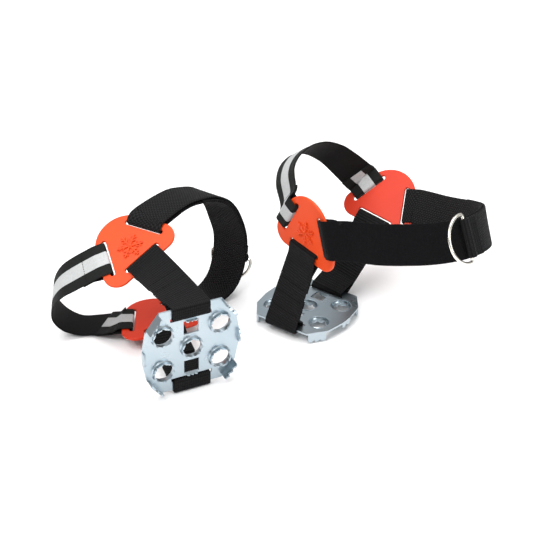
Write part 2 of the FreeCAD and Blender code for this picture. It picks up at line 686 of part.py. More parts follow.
# ---------------------------------------------------------------- pull ring
def ring_and_keeper(name, end_route, outer):
    """The wire D ring and the rolled webbing end that holds its straight bar."""
    place, across = end_route[0]
    away = unit(place - end_route[1][0])
    across = unit(across - away * across.dot(away))
    outward = across.cross(away)
    frames = station_frames(end_route)
    if (outward.dot(frames[0][2]) * outer) < 0:
        outward = -outward
    centre = place + away * size("keeper_radius") + outward * (size("keeper_radius") - 1.55)
    spin = Rotation(away, across, away.cross(across), "YXZ")
    frame = Placement(centre, spin)
    side = 1 if spin.multVec(Vector(0, 0, 1)).dot(outward) > 0 else -1

    keeper = doc.addObject("PartDesign::Body", name + "_ring_keeper")
    sketch = new_sketch(keeper, "keeper_section", "XZ_Plane")
    add_circle(sketch, "", "", "@keeper_radius", "Outer")
    add_circle(sketch, "", "", "@keeper_bore", "Inner")
    tube = keeper.newObject("PartDesign::Pad", "keeper_tube")
    tube.Profile = sketch
    tube.Midplane = True
    bind(tube, "Length", "@keeper_length")
    finish_sub_part(keeper, name + "_ring_keeper", frame)

    ring = doc.addObject("PartDesign::Body", name + "_pull_ring")
    half, reach = size("ring_half_height"), size("ring_reach")
    corner = reach - half       # bend between the bar and the half round bow
    path = new_sketch(ring, "ring_path")
    path.addGeometry(Part.LineSegment(Vector(0, 0, 0), Vector(0, corner - half, 0)), False)
    path.addGeometry(Part.ArcOfCircle(
        Part.Circle(Vector(corner, corner - half, 0), Vector(0, 0, 1), corner),
        math.pi, 3 * math.pi / 2), False)
    path.addGeometry(Part.ArcOfCircle(
        Part.Circle(Vector(corner, 0, 0), Vector(0, 0, 1), half), -math.pi / 2, math.pi / 2), False)
    path.addGeometry(Part.ArcOfCircle(
        Part.Circle(Vector(corner, half - corner, 0), Vector(0, 0, 1), corner),
        math.pi / 2, math.pi), False)
    path.addGeometry(Part.LineSegment(Vector(0, half - corner, 0), Vector(0, 0, 0)), False)
    section = new_sketch(ring, "wire_section", "XZ_Plane")
    add_circle(section, "", "", "@wire_radius", "Wire")
    wire = ring.newObject("PartDesign::AdditivePipe", "wire")
    wire.Profile = section
    wire.Spine = path
    tilt = Rotation(Vector(0, 1, 0), side * -size(name + "_ring_tilt"))
    finish_sub_part(ring, name + "_pull_ring", Placement(centre, spin * tilt))
    print(name, "ring axis", [round(v, 4) for v in spin.multVec(Vector(0, 1, 0))],
          "at", [round(v, 2) for v in centre], "outward", [round(v, 3) for v in outward])
    return [keeper, ring]


# ---------------------------------------------------------------- build and write
def build_cleat(name):
    cleat = CLEATS[name]
    parts = [steel_plate(name + "_steel_plate", cleat["plate"])]
    for side_name in ("medial", "lateral"):
        tri = cleat[side_name]
        parts.append(tri_plate("%s_%s_tri_plate" % (name, side_name), tri["frame"]))
        y_sign = -1 if tri["side"] > 0 else 1
        parts.append(sole_strap("%s_%s_sole_strap" % (name, side_name), cleat, side_name, y_sign))
    parts += heel_elastic(name, cleat)
    straps, end_route, outer = instep_strap(name, cleat)
    parts += straps
    parts += ring_and_keeper(name, end_route, outer)
    return parts


sub_parts = build_cleat("left") + build_cleat("right")
doc.recompute()

for obj in doc.Objects:
    if "Invalid" in obj.State or "Error" in obj.State:
        raise RuntimeError("failed feature: %s %s" % (obj.Label, obj.State))
box = FreeCAD.BoundBox()
for obj in sub_parts:
    shape = obj.Shape
    if shape.isNull() or not shape.isValid() or shape.Volume <= 0:
        raise RuntimeError("bad shape: %s" % obj.Label)
    if obj.Label in STRIP_CHECKS:
        expected, length = STRIP_CHECKS[obj.Label]
        if abs(shape.Volume - expected) > 0.06 * expected:
            raise RuntimeError("%s: volume %.0f, expected %.0f" % (obj.Label, shape.Volume, expected))
        print("%s is %.0f mm long" % (obj.Label, length))
    box.add(shape.BoundBox)
    shape.exportStep("parts/%s.step" % obj.Label)
print("box", [round(v, 2) for v in (box.XMin, box.XMax, box.YMin, box.YMax, box.ZMin, box.ZMax)])
print("%d sub-parts written" % len(sub_parts))
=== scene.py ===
import math

import bpy
import numpy as np
from mathutils import Matrix, Vector, noise


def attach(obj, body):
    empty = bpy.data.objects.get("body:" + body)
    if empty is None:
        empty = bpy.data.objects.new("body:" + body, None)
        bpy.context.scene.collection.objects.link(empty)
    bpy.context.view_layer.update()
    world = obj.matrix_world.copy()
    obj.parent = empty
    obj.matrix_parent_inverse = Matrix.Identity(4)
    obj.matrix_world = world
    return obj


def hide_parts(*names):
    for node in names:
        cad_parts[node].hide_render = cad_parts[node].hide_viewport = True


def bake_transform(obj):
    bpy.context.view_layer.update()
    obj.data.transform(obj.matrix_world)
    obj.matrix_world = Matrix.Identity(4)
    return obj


# The looks of a pair of strap-on ice cleats.  Lengths here are millimetres until a mesh is made.
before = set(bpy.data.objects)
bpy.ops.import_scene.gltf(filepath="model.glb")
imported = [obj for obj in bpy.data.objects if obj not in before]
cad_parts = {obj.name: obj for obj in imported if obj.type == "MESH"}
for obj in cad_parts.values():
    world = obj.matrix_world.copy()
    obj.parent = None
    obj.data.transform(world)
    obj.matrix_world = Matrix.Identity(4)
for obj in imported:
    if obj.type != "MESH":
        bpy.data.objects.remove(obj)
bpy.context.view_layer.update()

MM = 0.001
SHIFT = np.array([-2.05, 97.415, 0.0])       # from the layout's own origin to the frame's


def vec(*numbers):
    return np.array(numbers, dtype=float)


def unit(v):
    return v / np.linalg.norm(v)


def to_frame(points):
    """Layout millimetres to frame metres."""
    return (np.asarray(points) + SHIFT) * MM


# ---------------------------------------------------------------- where the hard parts are
class Axes:
    """A placed set of axes: rows of turn are the x, y and z directions."""

    def __init__(self, origin, x, y):
        self.origin = vec(*origin)
        y = unit(vec(*y))
        x = vec(*x)
        x = unit(x - y * x.dot(y))
        self.turn = np.array([x, y, np.cross(x, y)])

    def point(self, *local):
        return self.origin + vec(*local) @ self.turn

    def direction(self, *local):
        return vec(*local) @ self.turn


def turned(yaw, roll):
    """x and y directions after a roll about x and then a yaw about z, in degrees."""
    a, b = math.radians(yaw), math.radians(roll)
    x = (math.cos(a), math.sin(a), 0.0)
    y = (-math.sin(a) * math.cos(b), math.cos(a) * math.cos(b), math.sin(b))
    return x, y


# side is the sign of the outward normal along the plate's own z
CLEATS = {
    "left": {
        "plate": Axes((34, -79.5, 8.55), *turned(-37, 0)),
        "medial": {"axes": Axes((31, -106.5, 89.5), (0.64, -0.76, -0.12), (0.07, -0.10, 0.99)), "side": 1},
        "lateral": {"axes": Axes((98.5, -14.5, 68.5), (0.77, -0.62, -0.14), (0.53, 0.49, 0.69)), "side": -1},
        "peeled": 58.5,
    },
    "right": {
        "plate": Axes((-56.3, -184.6, 39.05), *turned(26, -86.6)),
        "medial": {"axes": Axes((-88, -107, 11.5), (0.90, 0.44, 0.0), (-0.44, 0.90, 0.0)), "side": -1},
        "lateral": {"axes": Axes((-103, -121, 85.5), (0.73, 0.50, 0.47), (-0.66, 0.70, 0.27)), "side": 1},
        "peeled": 73.0,
    },
}

# Points along the middle of each free band, each with the direction across it, up the leg
HEEL_ROUTES = {
    "left": [
        ((17, -78, 109), (0.39, -0.43, 0.82)),
        ((15, -62, 119), (0.49, -0.44, 0.75)),
        ((19, -46, 125), (0.60, -0.46, 0.65)),
        ((28, -31, 127), (0.66, -0.47, 0.59)),
        ((40, -18, 124), (0.68, -0.45, 0.58)),
        ((52, -9, 116), (0.71, -0.36, 0.61)),
        ((64, -4, 105), (0.74, -0.22, 0.63)),
    ],
    "right": [
        ((-137.5, -99, 2.5), (-0.12, 0.99, 0.0)),
        ((-152, -99.5, 2.5), (-0.09, 0.99, 0.05)),
        ((-164, -103, 11), (-0.05, 0.97, 0.15)),
        ((-170, -110, 25.5), (-0.03, 0.97, 0.22)),
        ((-168.3, -118, 42.5), (-0.07, 0.95, 0.27)),
        ((-161, -125, 57), (-0.16, 0.91, 0.37)),
        ((-150, -126.5, 66), (-0.25, 0.85, 0.47)),
    ],
}
INSTEP_ROUTES = {
    "left": [
        ((63, -130, 98), (-0.07, 0.26, 0.96)),
        ((83, -139, 100), (0.0, 0.35, 0.94)),
        ((104, -143.5, 102), (0.0, 0.41, 0.91)),
        ((125, -143.5, 103), (-0.09, 0.43, 0.90)),
        ((145, -137, 103), (-0.2, 0.41, 0.89)),
        ((160, -124, 101.5), (-0.28, 0.37, 0.88)),
        ((168, -106, 97.5), (-0.22, 0.34, 0.92)),
        ((168, -86, 91), (-0.08, 0.33, 0.94)),
        ((160, -68, 84.5), (0.07, 0.36, 0.93)),
        ((148, -51, 79), (0.16, 0.43, 0.89)),
    ],
    "right": [
        ((-60.5, -73, 8), (-0.73, 0.69, 0.0)),
        ((-47.8, -53.5, 5.5), (-0.76, 0.65, 0.0)),
        ((-37.7, -44.5, 15), (-0.83, 0.55, 0.05)),
        ((-32.3, -42, 33.5), (-0.89, 0.45, 0.05)),
        ((-31.2, -42.7, 54), (-0.90, 0.43, -0.04)),
        ((-35, -47, 73), (-0.87, 0.46, -0.14)),
        ((-41, -50.5, 88), (-0.80, 0.58, -0.14)),
        ((-50, -58.5, 99), (-0.73, 0.68, -0.07)),
        ((-61, -69, 104), (-0.69, 0.72, -0.03)),
        ((-73, -81, 105.5), (-0.72, 0.70, 0.03)),
    ],
}
PEEL_STATION = 7

PLATE_TOP = 0.75            # steel plate: middle to face
PLATE_HALF_WIDTH = 36.5
PLATE_SLOT = 27.6
SLOT_RISE = 3.8             # where a sole strap turns over the plate's edge strip
TRI_FACE = 1.3              # plastic plate: middle to face
TRI_RIM = 8.0
RIM_GAP, INNER_RIM_GAP = 1.4, 0.8      # where a band passes a plastic plate's edge
SLOTS = {"sole": (0.0, -11.7, 90.0), "instep": (18.544, 8.257, 24.0), "heel": (-18.544, 8.257, -24.0)}
LOOP_GAP, CLEARANCE, SEWN_GAP = 0.9, 0.4, 0.1
WEBBING, ELASTIC, PILE, HOOKS, STRIPE = 1.5, 1.3, 1.0, 0.8, 0.22      # thicknesses
KEEPER_OUT, KEEPER_LIFT = 3.4, 1.85      # ring bar beyond the strap's end, and above its middle
WEBBING_WIDTH, ELASTIC_WIDTH, STRIPE_WIDTH, PILE_WIDTH, HOOKS_WIDTH = 30.0, 29.0, 11.5, 31.5, 28.0
PEEL_GAP = 0.35             # between the pile and the hooks laid on it
STITCH_WIDTH = 27           # length of a row of stitches across a band
THREAD_PROUD = 0.12         # how far a thread's middle stands off the webbing
LOW_ROWS, HIGH_ROW = (15, 28), 22        # rows of stitches from the foot and the head of a sole strap
LOW_LOOP, HIGH_LOOP = 40, 42             # the sewn loops, from each end of a sole strap's webbing
TAIL_END = 16               # where the sewn tail of the elastic ends, from the plate's edge
TAIL_ROW = 11.5             # row of stitches on that tail


def tri_point(tri, which, out, lift):
    """A point by a slot of a plastic plate: out towards the edge, lift off the middle plane."""
    x, y, lean = SLOTS[which]
    if which == "sole":
        towards = vec(0, -1, 0)
    else:
        a = math.radians(lean)
        towards = vec(math.cos(a), math.sin(a), 0) * (1 if which == "instep" else -1)
    return tri["axes"].point(*(vec(x, y, tri["side"] * lift) + towards * out))


def tri_across(tri, which):
    if which == "sole":
        return tri["axes"].direction(1, 0, 0)
    a = math.radians(SLOTS[which][2])
    return tri["axes"].direction(-math.sin(a), math.cos(a), 0)


# ---------------------------------------------------------------- paths of bands
def frames_along(path):
    """Tangent, across and normal at each point of a path of (place, across)."""
    places = np.array([p for p, a in path])
    across = np.array([a for p, a in path])
    steps = np.diff(places, axis=0)
    steps /= np.linalg.norm(steps, axis=1)[:, None]
    tangent = np.vstack([steps[:1], steps[:-1] + steps[1:], steps[-1:]])
    tangent /= np.linalg.norm(tangent, axis=1)[:, None]
    across = across - tangent * np.sum(across * tangent, axis=1)[:, None]
    across /= np.linalg.norm(across, axis=1)[:, None]
    normal = np.cross(across, tangent)
    turn = np.ones(len(places))
    turn[1:-1] = np.sqrt((1 + np.clip(np.sum(steps[:-1] * steps[1:], axis=1), -0.9, 1)) / 2)
    return places, across, normal, 1 / turn


def offset_path(path, amount):
    places, across, normal, stretch = frames_along(path)
    moved = places + normal * (amount * stretch)[:, None]
    return list(zip(moved, across))


def lengths_along(path):
    places = np.array([p for p, a in path])
    return np.concatenate([[0], np.cumsum(np.linalg.norm(np.diff(places, axis=0), axis=1))])


def at_distances(path, distances):
    """The path's (place, across) at these distances along it."""
    s = lengths_along(path)
    places = np.array([p for p, a in path])
    across = np.array([a for p, a in path])
    new_places = np.stack([np.interp(distances, s, places[:, k]) for k in range(3)], axis=1)
    new_across = np.stack([np.interp(distances, s, across[:, k]) for k in range(3)], axis=1)
    return list(zip(new_places, new_across))


def stretch_of(path, start, end):
    count = max(3, int(abs(end - start) / 1.5) + 1)
    return at_distances(path, np.linspace(start, end, count))


def smooth(path, samples=10):
    """A Catmull-Rom curve through every point of a path."""
    values = np.array([np.concatenate([p, a]) for p, a in path])
    padded = np.vstack([2 * values[0] - values[1], values, 2 * values[-1] - values[-2]])
    out = []
    for i in range(len(values) - 1):
        p0, p1, p2, p3 = padded[i:i + 4]
        for t in np.linspace(0, 1, samples, endpoint=False):
            out.append(0.5 * (2 * p1 + (p2 - p0) * t + (2 * p0 - 5 * p1 + 4 * p2 - p3) * t ** 2
                              + (3 * p1 - p0 - 3 * p2 + p3) * t ** 3))
    out.append(values[-1])
    return [(row[:3], unit(row[3:])) for row in out]


def round_corners(path, reach):
    """Cuts each corner of a path with a short curve that starts up to reach before it."""
    out = [path[0]]
    for (a, across_a), (b, across_b), (c, across_c) in zip(path, path[1:], path[2:]):
        before, after = np.linalg.norm(a - b), np.linalg.norm(c - b)
        share_a, share_c = min(reach / before, 0.45), min(reach / after, 0.45)
        start, end = b + (a - b) * share_a, b + (c - b) * share_c
        across_1 = across_b + (across_a - across_b) * share_a
        across_2 = across_b + (across_c - across_b) * share_c
        for t in np.linspace(0, 1, 7):
            place = start * (1 - t) ** 2 + b * 2 * t * (1 - t) + end * t ** 2
            out.append((place, across_1 * (1 - t) + across_2 * t))
    out.append(path[-1])
    return out


def sign_away_from(path, inside):
    """+1 where the path's normals point away from this inside point, over most of it."""
    places, across, normal, stretch = frames_along(path)
    return -1 if np.sum(np.sum(normal * (inside - places), axis=1) > 0) > len(path) / 2 else 1


def total_of(path):
    return lengths_along(path)[-1]


# ---------------------------------------------------------------- band meshes
def fabric_mesh(name, path, width, low, high, materials, step=0.5, relief=None, edge=None):
    """A soft band along a path, from low to high along its normals, with rounded edges.
    relief(s, v) lifts both faces, s along and v across in mm.  The first material is on the
    side the normals point to, the last on the other."""
    total = total_of(path)
    count = int(total / step) + 1
    s = np.linspace(0, total, count)
    places, across, normal, stretch = frames_along(at_distances(path, s))
    thick = high - low
    edge = edge or min(0.62 * thick, 0.9)
    half = width / 2
    shares = np.array([0.0, 0.25, 0.55, 0.85, 1.0])
    rim = half - edge + edge * np.sin(shares * math.pi / 2)
    drop = np.cos(shares * math.pi / 2)
    flat = np.linspace(-(half - edge), half - edge, 13)[1:-1]
    v_top = np.concatenate([-rim[::-1], flat, rim])
    h_top = np.concatenate([drop[::-1], np.ones(len(flat)), drop])
    v_all = np.concatenate([v_top, v_top[::-1][1:-1]])
    h_all = np.concatenate([h_top, -h_top[::-1][1:-1]])
    around = len(v_all)
    lift = (low + high) / 2 + h_all * thick / 2
    offsets = np.repeat(lift[None, :], count, axis=0)
    if relief:
        s_grid, v_grid = np.meshgrid(s, v_all, indexing="ij")
        offsets = offsets + relief(s_grid, v_grid) * np.sign(h_all) * np.abs(h_all)
    points = (places[:, None, :] + across[:, None, :] * v_all[None, :, None]
              + normal[:, None, :] * offsets[:, :, None])
    verts = to_frame(points.reshape(-1, 3))
    faces = []
    for i in range(count - 1):
        for k in range(around):
            n = (k + 1) % around
            faces.append((i * around + k, i * around + n, (i + 1) * around + n, (i + 1) * around + k))
    faces.append(tuple(range(around))[::-1])
    faces.append(tuple((count - 1) * around + k for k in range(around)))
    mesh = bpy.data.meshes.new(name)
    mesh.from_pydata([tuple(v) for v in verts], [], faces)
    top_faces = len(v_top) - 1
    sides = np.zeros(len(faces), dtype=int)
    for k in range(around):
        if k >= top_faces:
            sides[k:-2:around] = len(materials) - 1
    uv = mesh.uv_layers.new(name="UVMap")
    s_vert = np.repeat(s, around) / 10
    v_vert = np.tile(v_all, count) / 10
    index = np.zeros(len(mesh.loops), dtype=int)
    mesh.loops.foreach_get("vertex_index", index)
    uv.data.foreach_set("uv", np.stack([s_vert[index], v_vert[index]], axis=1).ravel())
    for material in materials:
        mesh.materials.append(material)
    mesh.polygons.foreach_set("material_index", sides)
    mesh.polygons.foreach_set("use_smooth", np.array([True] * (len(faces) - 2) + [False] * 2))
    mesh.update()
    mesh.validate()
    obj = bpy.data.objects.new(name, mesh)
    bpy.context.scene.collection.objects.link(obj)
    return obj


def joined_mesh(name, solids, material, smooth_shaded=False):
    """One mesh from several (vertices in frame metres, faces)."""
    verts, faces = [], []
    for solid_verts, solid_faces in solids:
        start = len(verts)
        verts += [tuple(v) for v in solid_verts]
        faces += [tuple(start + i for i in face) for face in solid_faces]
    mesh = bpy.data.meshes.new(name)
    mesh.from_pydata(verts, [], faces)
    mesh.materials.append(material)
    if smooth_shaded:
        mesh.polygons.foreach_set("use_smooth", [True] * len(faces))
    mesh.update()
    obj = bpy.data.objects.new(name, mesh)
    bpy.context.scene.collection.objects.link(obj)
    return obj


def capsule(start, end, radius, sides=6):
    """A short thread between two points, thinner at its ends."""
    along = unit(end - start)
    side = unit(np.cross(along, vec(0.31, 0.52, 0.79)))
    other = np.cross(along, side)
    length = np.linalg.norm(end - start)
    verts = []
    for share, scale in ((0.0, 0.3), (0.12, 0.85), (0.5, 1.0), (0.88, 0.85), (1.0, 0.3)):
        for k in range(sides):
            a = 2 * math.pi * k / sides
            spot = side * math.cos(a) + other * math.sin(a)
            verts.append(to_frame(start + along * (length * share) + spot * radius * scale))
    rings = 5
    faces = [tuple(range(sides))[::-1], tuple((rings - 1) * sides + k for k in range(sides))]
    for i in range(rings - 1):
        for k in range(sides):
            n = (k + 1) % sides
            faces.append((i * sides + k, i * sides + n, (i + 1) * sides + n, (i + 1) * sides + k))
    return verts, faces


def stitch_row(path, distance, lift, width, pitch=2.6, thread=0.22):
    """Stitches across a band at this distance along it, lift off its middle."""
    ends = at_distances(path, [distance - 0.5, distance + 0.5])
    places, across, normal, stretch = frames_along(ends)
    middle = places.mean(axis=0) + normal[0] * lift
    count = int(width / pitch)
    solids = []
    for i in range(count):
        v = (i - (count - 1) / 2) * pitch
        solids.append(capsule(middle + across[0] * (v - pitch * 0.38),
                              middle + across[0] * (v + pitch * 0.38), thread))
    return solids


# ---------------------------------------------------------------- materials
def new_material(name, base, roughness, metallic=0.0, sheen=0.0, specular=0.5):
    material = bpy.data.materials.new(name)
    material.use_nodes = True
    nodes, links = material.node_tree.nodes, material.node_tree.links
    shader = nodes["Principled BSDF"]
    shader.inputs["Base Color"].default_value = (*base, 1.0)
    shader.inputs["Roughness"].default_value = roughness
    shader.inputs["Metallic"].default_value = metallic
    shader.inputs["Sheen Weight"].default_value = sheen
    shader.inputs["Specular IOR Level"].default_value = specular
    return material, nodes, links, shader


def math_node(nodes, links, operation, a, b=None):
    node = nodes.new("ShaderNodeMath")
    node.operation = operation
    for socket, value in zip(node.inputs, (a, b)):
        if value is None:
            continue
        if isinstance(value, (int, float)):
            socket.default_value = value
        else:
            links.new(value, socket)
    return node.outputs[0]


def weave(nodes, links, pitch_along, pitch_across, stagger):
    """Height of a woven face, from the band's own coordinates, in centimetres along and across."""
    coords = nodes.new("ShaderNodeTexCoord")
    split = nodes.new("ShaderNodeSeparateXYZ")
    links.new(coords.outputs["UV"], split.inputs[0])
    along, across = split.outputs[0], split.outputs[1]
    column = math_node(nodes, links, "MULTIPLY", across, 10 / pitch_across)
    number = math_node(nodes, links, "FLOOR", column)
    shifted = math_node(nodes, links, "MULTIPLY", number, stagger)
    row = math_node(nodes, links, "ADD", math_node(nodes, links, "MULTIPLY", along, 10 / pitch_along),
                    shifted)
    wave_a = math_node(nodes, links, "ABSOLUTE", math_node(
        nodes, links, "SINE", math_node(nodes, links, "MULTIPLY", row, math.pi)))
    wave_b = math_node(nodes, links, "ABSOLUTE", math_node(
        nodes, links, "SINE", math_node(nodes, links, "MULTIPLY", column, math.pi)))
    return math_node(nodes, links, "MULTIPLY", wave_a, math_node(
        nodes, links, "ADD", math_node(nodes, links, "MULTIPLY", wave_b, 0.6), 0.4))


def add_bump(nodes, links, shader, height, distance, strength=1.0):
    bump = nodes.new("ShaderNodeBump")
    bump.inputs["Distance"].default_value = distance * MM
    bump.inputs["Strength"].default_value = strength
    links.new(height, bump.inputs["Height"])
    links.new(bump.outputs[0], shader.inputs["Normal"])


def tint(nodes, links, shader, factor, dark, light):
    ramp = nodes.new("ShaderNodeMix")
    ramp.data_type = "RGBA"
    links.new(factor, ramp.inputs[0])
    ramp.inputs[6].default_value = (*dark, 1.0)
    ramp.inputs[7].default_value = (*light, 1.0)
    links.new(ramp.outputs[2], shader.inputs["Base Color"])


def noise_node(nodes, links, scale, detail=3.0):
    coords = nodes.new("ShaderNodeTexCoord")
    node = nodes.new("ShaderNodeTexNoise")
    node.inputs["Scale"].default_value = scale
    node.inputs["Detail"].default_value = detail
    links.new(coords.outputs["Object"], node.inputs["Vector"])
    return node.outputs[0]


def woven(name, dark, light, pitch_along, pitch_across, stagger, depth, roughness=0.75):
    material, nodes, links, shader = new_material(name, dark, roughness, sheen=0.02, specular=0.12)
    height = weave(nodes, links, pitch_along, pitch_across, stagger)
    # the weave's height also sets the colour: painted shade in the grooves, painted highlight on the ridge
    # tops
    tint(nodes, links, shader, height, dark, light)
    add_bump(nodes, links, shader, height, depth)
    return material


def pile_fabric():
    material, nodes, links, shader = new_material("loop_pile", (0.006, 0.006, 0.008), 0.95, sheen=0.05,
                                                  specular=0.05)
    fine = noise_node(nodes, links, 1400, 5)
    tint(nodes, links, shader, fine, (0.0008, 0.0008, 0.001), (0.008, 0.008, 0.009))
    add_bump(nodes, links, shader, fine, 0.6)
    return material


def reflective():
    material, nodes, links, shader = new_material("reflective_weave", (0.4, 0.4, 0.4), 0.5)
    fine = noise_node(nodes, links, 900, 4)
    tint(nodes, links, shader, fine, (0.30, 0.31, 0.31), (0.52, 0.53, 0.53))
    add_bump(nodes, links, shader, weave(nodes, links, 0.7, 0.7, 0.5), 0.05)
    return material


def plastic(name, dark, light):
    material, nodes, links, shader = new_material(name, light, 0.42, specular=0.3)
    tint(nodes, links, shader, noise_node(nodes, links, 25, 2), dark, light)
    add_bump(nodes, links, shader, noise_node(nodes, links, 2200, 2), 0.03)
    shader.inputs["Subsurface Weight"].default_value = 0.1
    shader.inputs["Subsurface Radius"].default_value = (0.004, 0.0012, 0.0006)
    shader.inputs["Subsurface Scale"].default_value = 1.0
    return material


def zinc():
    material, nodes, links, shader = new_material("zinc_plate", (0.6, 0.63, 0.67), 0.3, metallic=1.0)
    tint(nodes, links, shader, noise_node(nodes, links, 12, 3), (0.30, 0.40, 0.47), (0.54, 0.58, 0.60))
    rough = math_node(nodes, links, "ADD", math_node(
        nodes, links, "MULTIPLY", noise_node(nodes, links, 60, 4), 0.10), 0.24)
    links.new(rough, shader.inputs["Roughness"])
    add_bump(nodes, links, shader, noise_node(nodes, links, 300, 4), 0.015)
    return material


def nickel():
    material, nodes, links, shader = new_material("nickel_wire", (0.8, 0.78, 0.72), 0.16, metallic=1.0)
    tint(nodes, links, shader, noise_node(nodes, links, 200, 3), (0.74, 0.71, 0.63), (0.86, 0.84, 0.78))
    return material


# each woven look runs from its first colour, painted shade in the grooves, to its second, painted highlight
# on the ridges
WEBBING_LOOK = woven("ribbed_webbing", (0.0004, 0.0004, 0.0005), (0.011, 0.011, 0.012), 2.25, 1.5, 0.0, 0.7)
TWILL_LOOK = woven("honeycomb_webbing", (0.0003, 0.0003, 0.0004), (0.014, 0.014, 0.015), 2.4, 1.8, 0.5, 0.9)
ELASTIC_LOOK = woven("charcoal_elastic", (0.004, 0.0045, 0.004), (0.013, 0.0145, 0.013), 0.8, 1.0, 0.0, 0.12)
ELASTIC_BACK = woven("black_elastic", (0.001, 0.001, 0.001), (0.006, 0.006, 0.006), 0.8, 1.0, 0.5, 0.12)
THREAD_LOOK = woven("black_thread", (0.003, 0.003, 0.003), (0.010, 0.010, 0.011), 0.6, 0.6, 0.5, 0.05)
PILE_LOOK = pile_fabric()
HOOK_LOOK = woven("hook_tape", (0.001, 0.001, 0.001), (0.010, 0.010, 0.010), 1.3, 1.3, 0.5, 0.4)
STRIPE_LOOK = reflective()
# one orange plastic in two copies: the lighter copy is for the plates in light, the darker copy is painted
# shade for the plates in shadow
PLASTIC_LIT_COPY = plastic("orange_plastic", (0.62, 0.048, 0.003), (0.70, 0.062, 0.005))
PLASTIC_PAINTED_SHADE = plastic("painted_shade_plastic", (0.52, 0.022, 0.002), (0.60, 0.030, 0.003))
ZINC_LOOK = zinc()
NICKEL_LOOK = nickel()


# ---------------------------------------------------------------- the straps
def middle_of(cleat):
    return (cleat["medial"]["axes"].origin + cleat["lateral"]["axes"].origin) / 2


def ribs(near_start, near_end, pitch=2.25, tall=0.42, low=0.12):
    """Cross ribs that stand out near the two sewn loops and lie flat between them."""
    def relief(s, v):
        strength = np.maximum(np.clip(1.3 - np.abs(s - near_start) / 15, 0, 1),
                              np.clip(1.3 - np.abs(s - near_end) / 15, 0, 1))
        wave = np.abs(np.cos(math.pi * s / pitch)) ** 0.8 - 0.6
        return wave * (low + (tall - low) * strength)
    return relief


def sole_strap(name, side_name):
    """Webbing from a slot of the steel plate, under its edge strip and up to a plastic plate."""
    cleat = CLEATS[name]
    plate, tri = cleat["plate"], cleat[side_name]
    y_sign = -1 if tri["side"] > 0 else 1
    below = -(PLATE_TOP + LOOP_GAP + WEBBING / 2)
    edge = PLATE_HALF_WIDTH + LOOP_GAP + WEBBING / 2
    lift = TRI_FACE + LOOP_GAP + WEBBING / 2
    across_plate, across_tri = plate.direction(1, 0, 0), tri_across(tri, "sole")
    foot = plate.point(0, y_sign * edge, 0.2)
    head = tri_point(tri, "sole", TRI_RIM + RIM_GAP, lift)
    run = [(foot + (head - foot) * t, unit(across_plate * (1 - t) + across_tri * t))
           for t in np.linspace(0, 1, 9)]
    outward = sign_away_from(run, plate.point(0, 0, 40))
    layer = WEBBING + SEWN_GAP
    low_tail = stretch_of(offset_path(run, -outward * layer), 13, 30)
    high_tail = stretch_of(offset_path(run[::-1], outward * layer), 8, 24)
    at_steel = [(plate.point(0, y_sign * PLATE_SLOT, SLOT_RISE), across_plate),
                (plate.point(0, y_sign * PLATE_SLOT, below), across_plate),
                (plate.point(0, y_sign * edge, below), across_plate)]
    at_plastic = [(tri_point(tri, "sole", 0, lift), across_tri),
                  (tri_point(tri, "sole", 0, -lift), across_tri),
                  (tri_point(tri, "sole", TRI_RIM + INNER_RIM_GAP, -lift), across_tri)]
    path = round_corners(low_tail[::-1] + at_steel + run + at_plastic + high_tail, 1.9)
    total = total_of(path)
    side = sign_away_from(path, plate.point(0, 0, 40))
    label = "%s_%s_sole_strap" % (name, side_name)
    obj = fabric_mesh(label + "_webbing", path, WEBBING_WIDTH, -WEBBING / 2, WEBBING / 2, [WEBBING_LOOK],
                      step=0.32, relief=ribs(LOW_LOOP, total - HIGH_LOOP))
    stitches = []
    for spot in (LOW_ROWS + (total_of(run) - HIGH_ROW,)):
        stitches += stitch_row(run, spot, outward * (WEBBING / 2 + THREAD_PROUD), STITCH_WIDTH)
    thread = joined_mesh(label + "_stitches", stitches, THREAD_LOOK, True)
    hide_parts(label)
    body = "%s_%s_strap" % (name, side_name)
    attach(obj, body)
    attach(thread, body)


def looped_end(tri, which, lift, main, gauge, inside, tail_end):
    """Stations of an end that dives through a slot from the outside and is sewn back inside."""
    across = tri_across(tri, which)
    outward = sign_away_from(main, inside)
    tail = stretch_of(offset_path(main, -outward * (gauge + SEWN_GAP)), 7, tail_end)
    axes = tri["axes"]
    tail_lift = -tri["side"] * (tail[0][0] - axes.origin).dot(axes.turn[2])
    return [(tri_point(tri, which, 0, lift), across), (tri_point(tri, which, 0, -lift), across),
            (tri_point(tri, which, TRI_RIM + RIM_GAP, -max(lift, tail_lift)), across)] + tail


